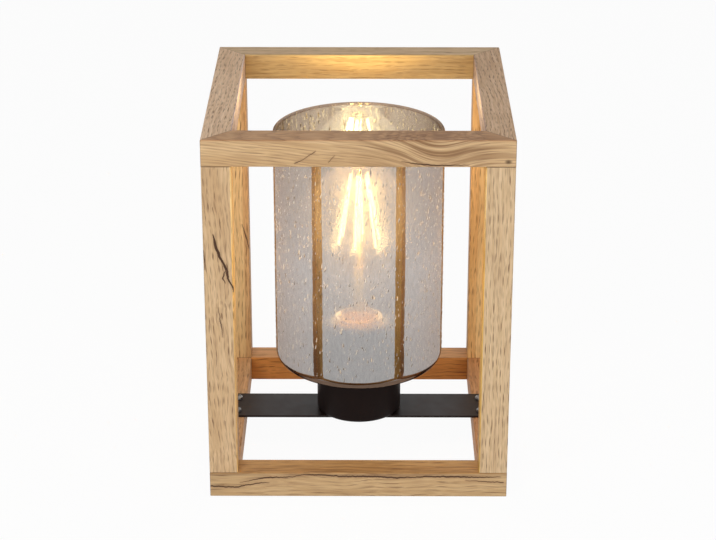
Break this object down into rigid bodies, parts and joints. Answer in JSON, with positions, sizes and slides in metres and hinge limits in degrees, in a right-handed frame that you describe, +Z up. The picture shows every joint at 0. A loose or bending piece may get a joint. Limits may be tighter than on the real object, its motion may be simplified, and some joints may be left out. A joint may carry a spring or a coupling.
{
  "type": "lantern table lamp",
  "caption": "Table lamp: an open square oak lantern frame with a dark crossbar and cup that carry a seeded smoked glass cylinder and a screw bulb.",
  "frame": {"origin": "middle of the footprint, on the surface that the lamp stands on", "axes": "+Z up, +Y to the back, where the cord inlet is, +X to the right seen from the front"},
  "size_m": [0.2, 0.2, 0.255],
  "materials": {
    "oak": "oiled oak with open grain, fine dark pores and small drying cracks",
    "dark_steel": "satin black-brown powder coat",
    "bright_steel": "bright zinc plate",
    "cap_metal": "bright drawn metal",
    "brass": "bright",
    "black_plastic": "moulded, satin",
    "ceramic": "unglazed white",
    "gasket": "soft black",
    "smoked_glass": "smoked, lightly mirrored, with upright seed bubbles",
    "clear_glass": "clear",
    "wire": "fine bright wire",
    "filament": "lit, warm yellow"
  },
  "bodies": {
    "lamp": {"top_rail_front": "oak", "top_rail_back": "oak", "top_rail_left": "oak", "top_rail_right": "oak", "bottom_rail_front": "oak", "bottom_rail_back": "oak", "bottom_rail_left": "oak", "bottom_rail_right": "oak", "post_front_left": "oak", "post_front_right": "oak", "post_back_left": "oak", "post_back_right": "oak", "top_dowels": "oak", "bottom_dowels": "oak", "crossbar": "dark_steel", "crossbar_screws": "bright_steel", "socket_cup": "dark_steel", "cord_bush": "black_plastic", "earth_screw": "brass", "nipple": "bright_steel", "nipple_nuts": "bright_steel", "nipple_washer": "bright_steel", "holder_cap": "black_plastic", "holder_shell": "black_plastic", "holder_insert": "ceramic", "thread_shell": "brass", "centre_contact": "brass", "terminal_screws": "brass", "shade_gasket": "gasket", "glass_shade": "smoked_glass", "shade_ring": "black_plastic"},
    "bulb_tip": {"bulb_tip_contact": "cap_metal"},
    "bulb": {"bulb_cap": "cap_metal", "bulb_insulator": "black_plastic", "bulb_envelope": "clear_glass", "bulb_stem": "clear_glass", "bulb_supports": "wire", "bulb_filaments": "filament"}
  },
  "joints": [
    {"name": "bulb_rise", "type": "slide", "parent": "lamp", "child": "bulb_tip", "axis": [0, 0, 1], "range_m": [0, 0.01457]},
    {"name": "bulb_turn", "type": "hinge", "parent": "bulb_tip", "child": "bulb", "pos_m": [0, 0, 0.076], "axis": [0, 0, 1], "range_deg": [0, 1440]}
  ],
  "couplings": [
    {"joint": "bulb_rise", "follows": "bulb_turn", "m_per_rad": 0.00057773}
  ]
}
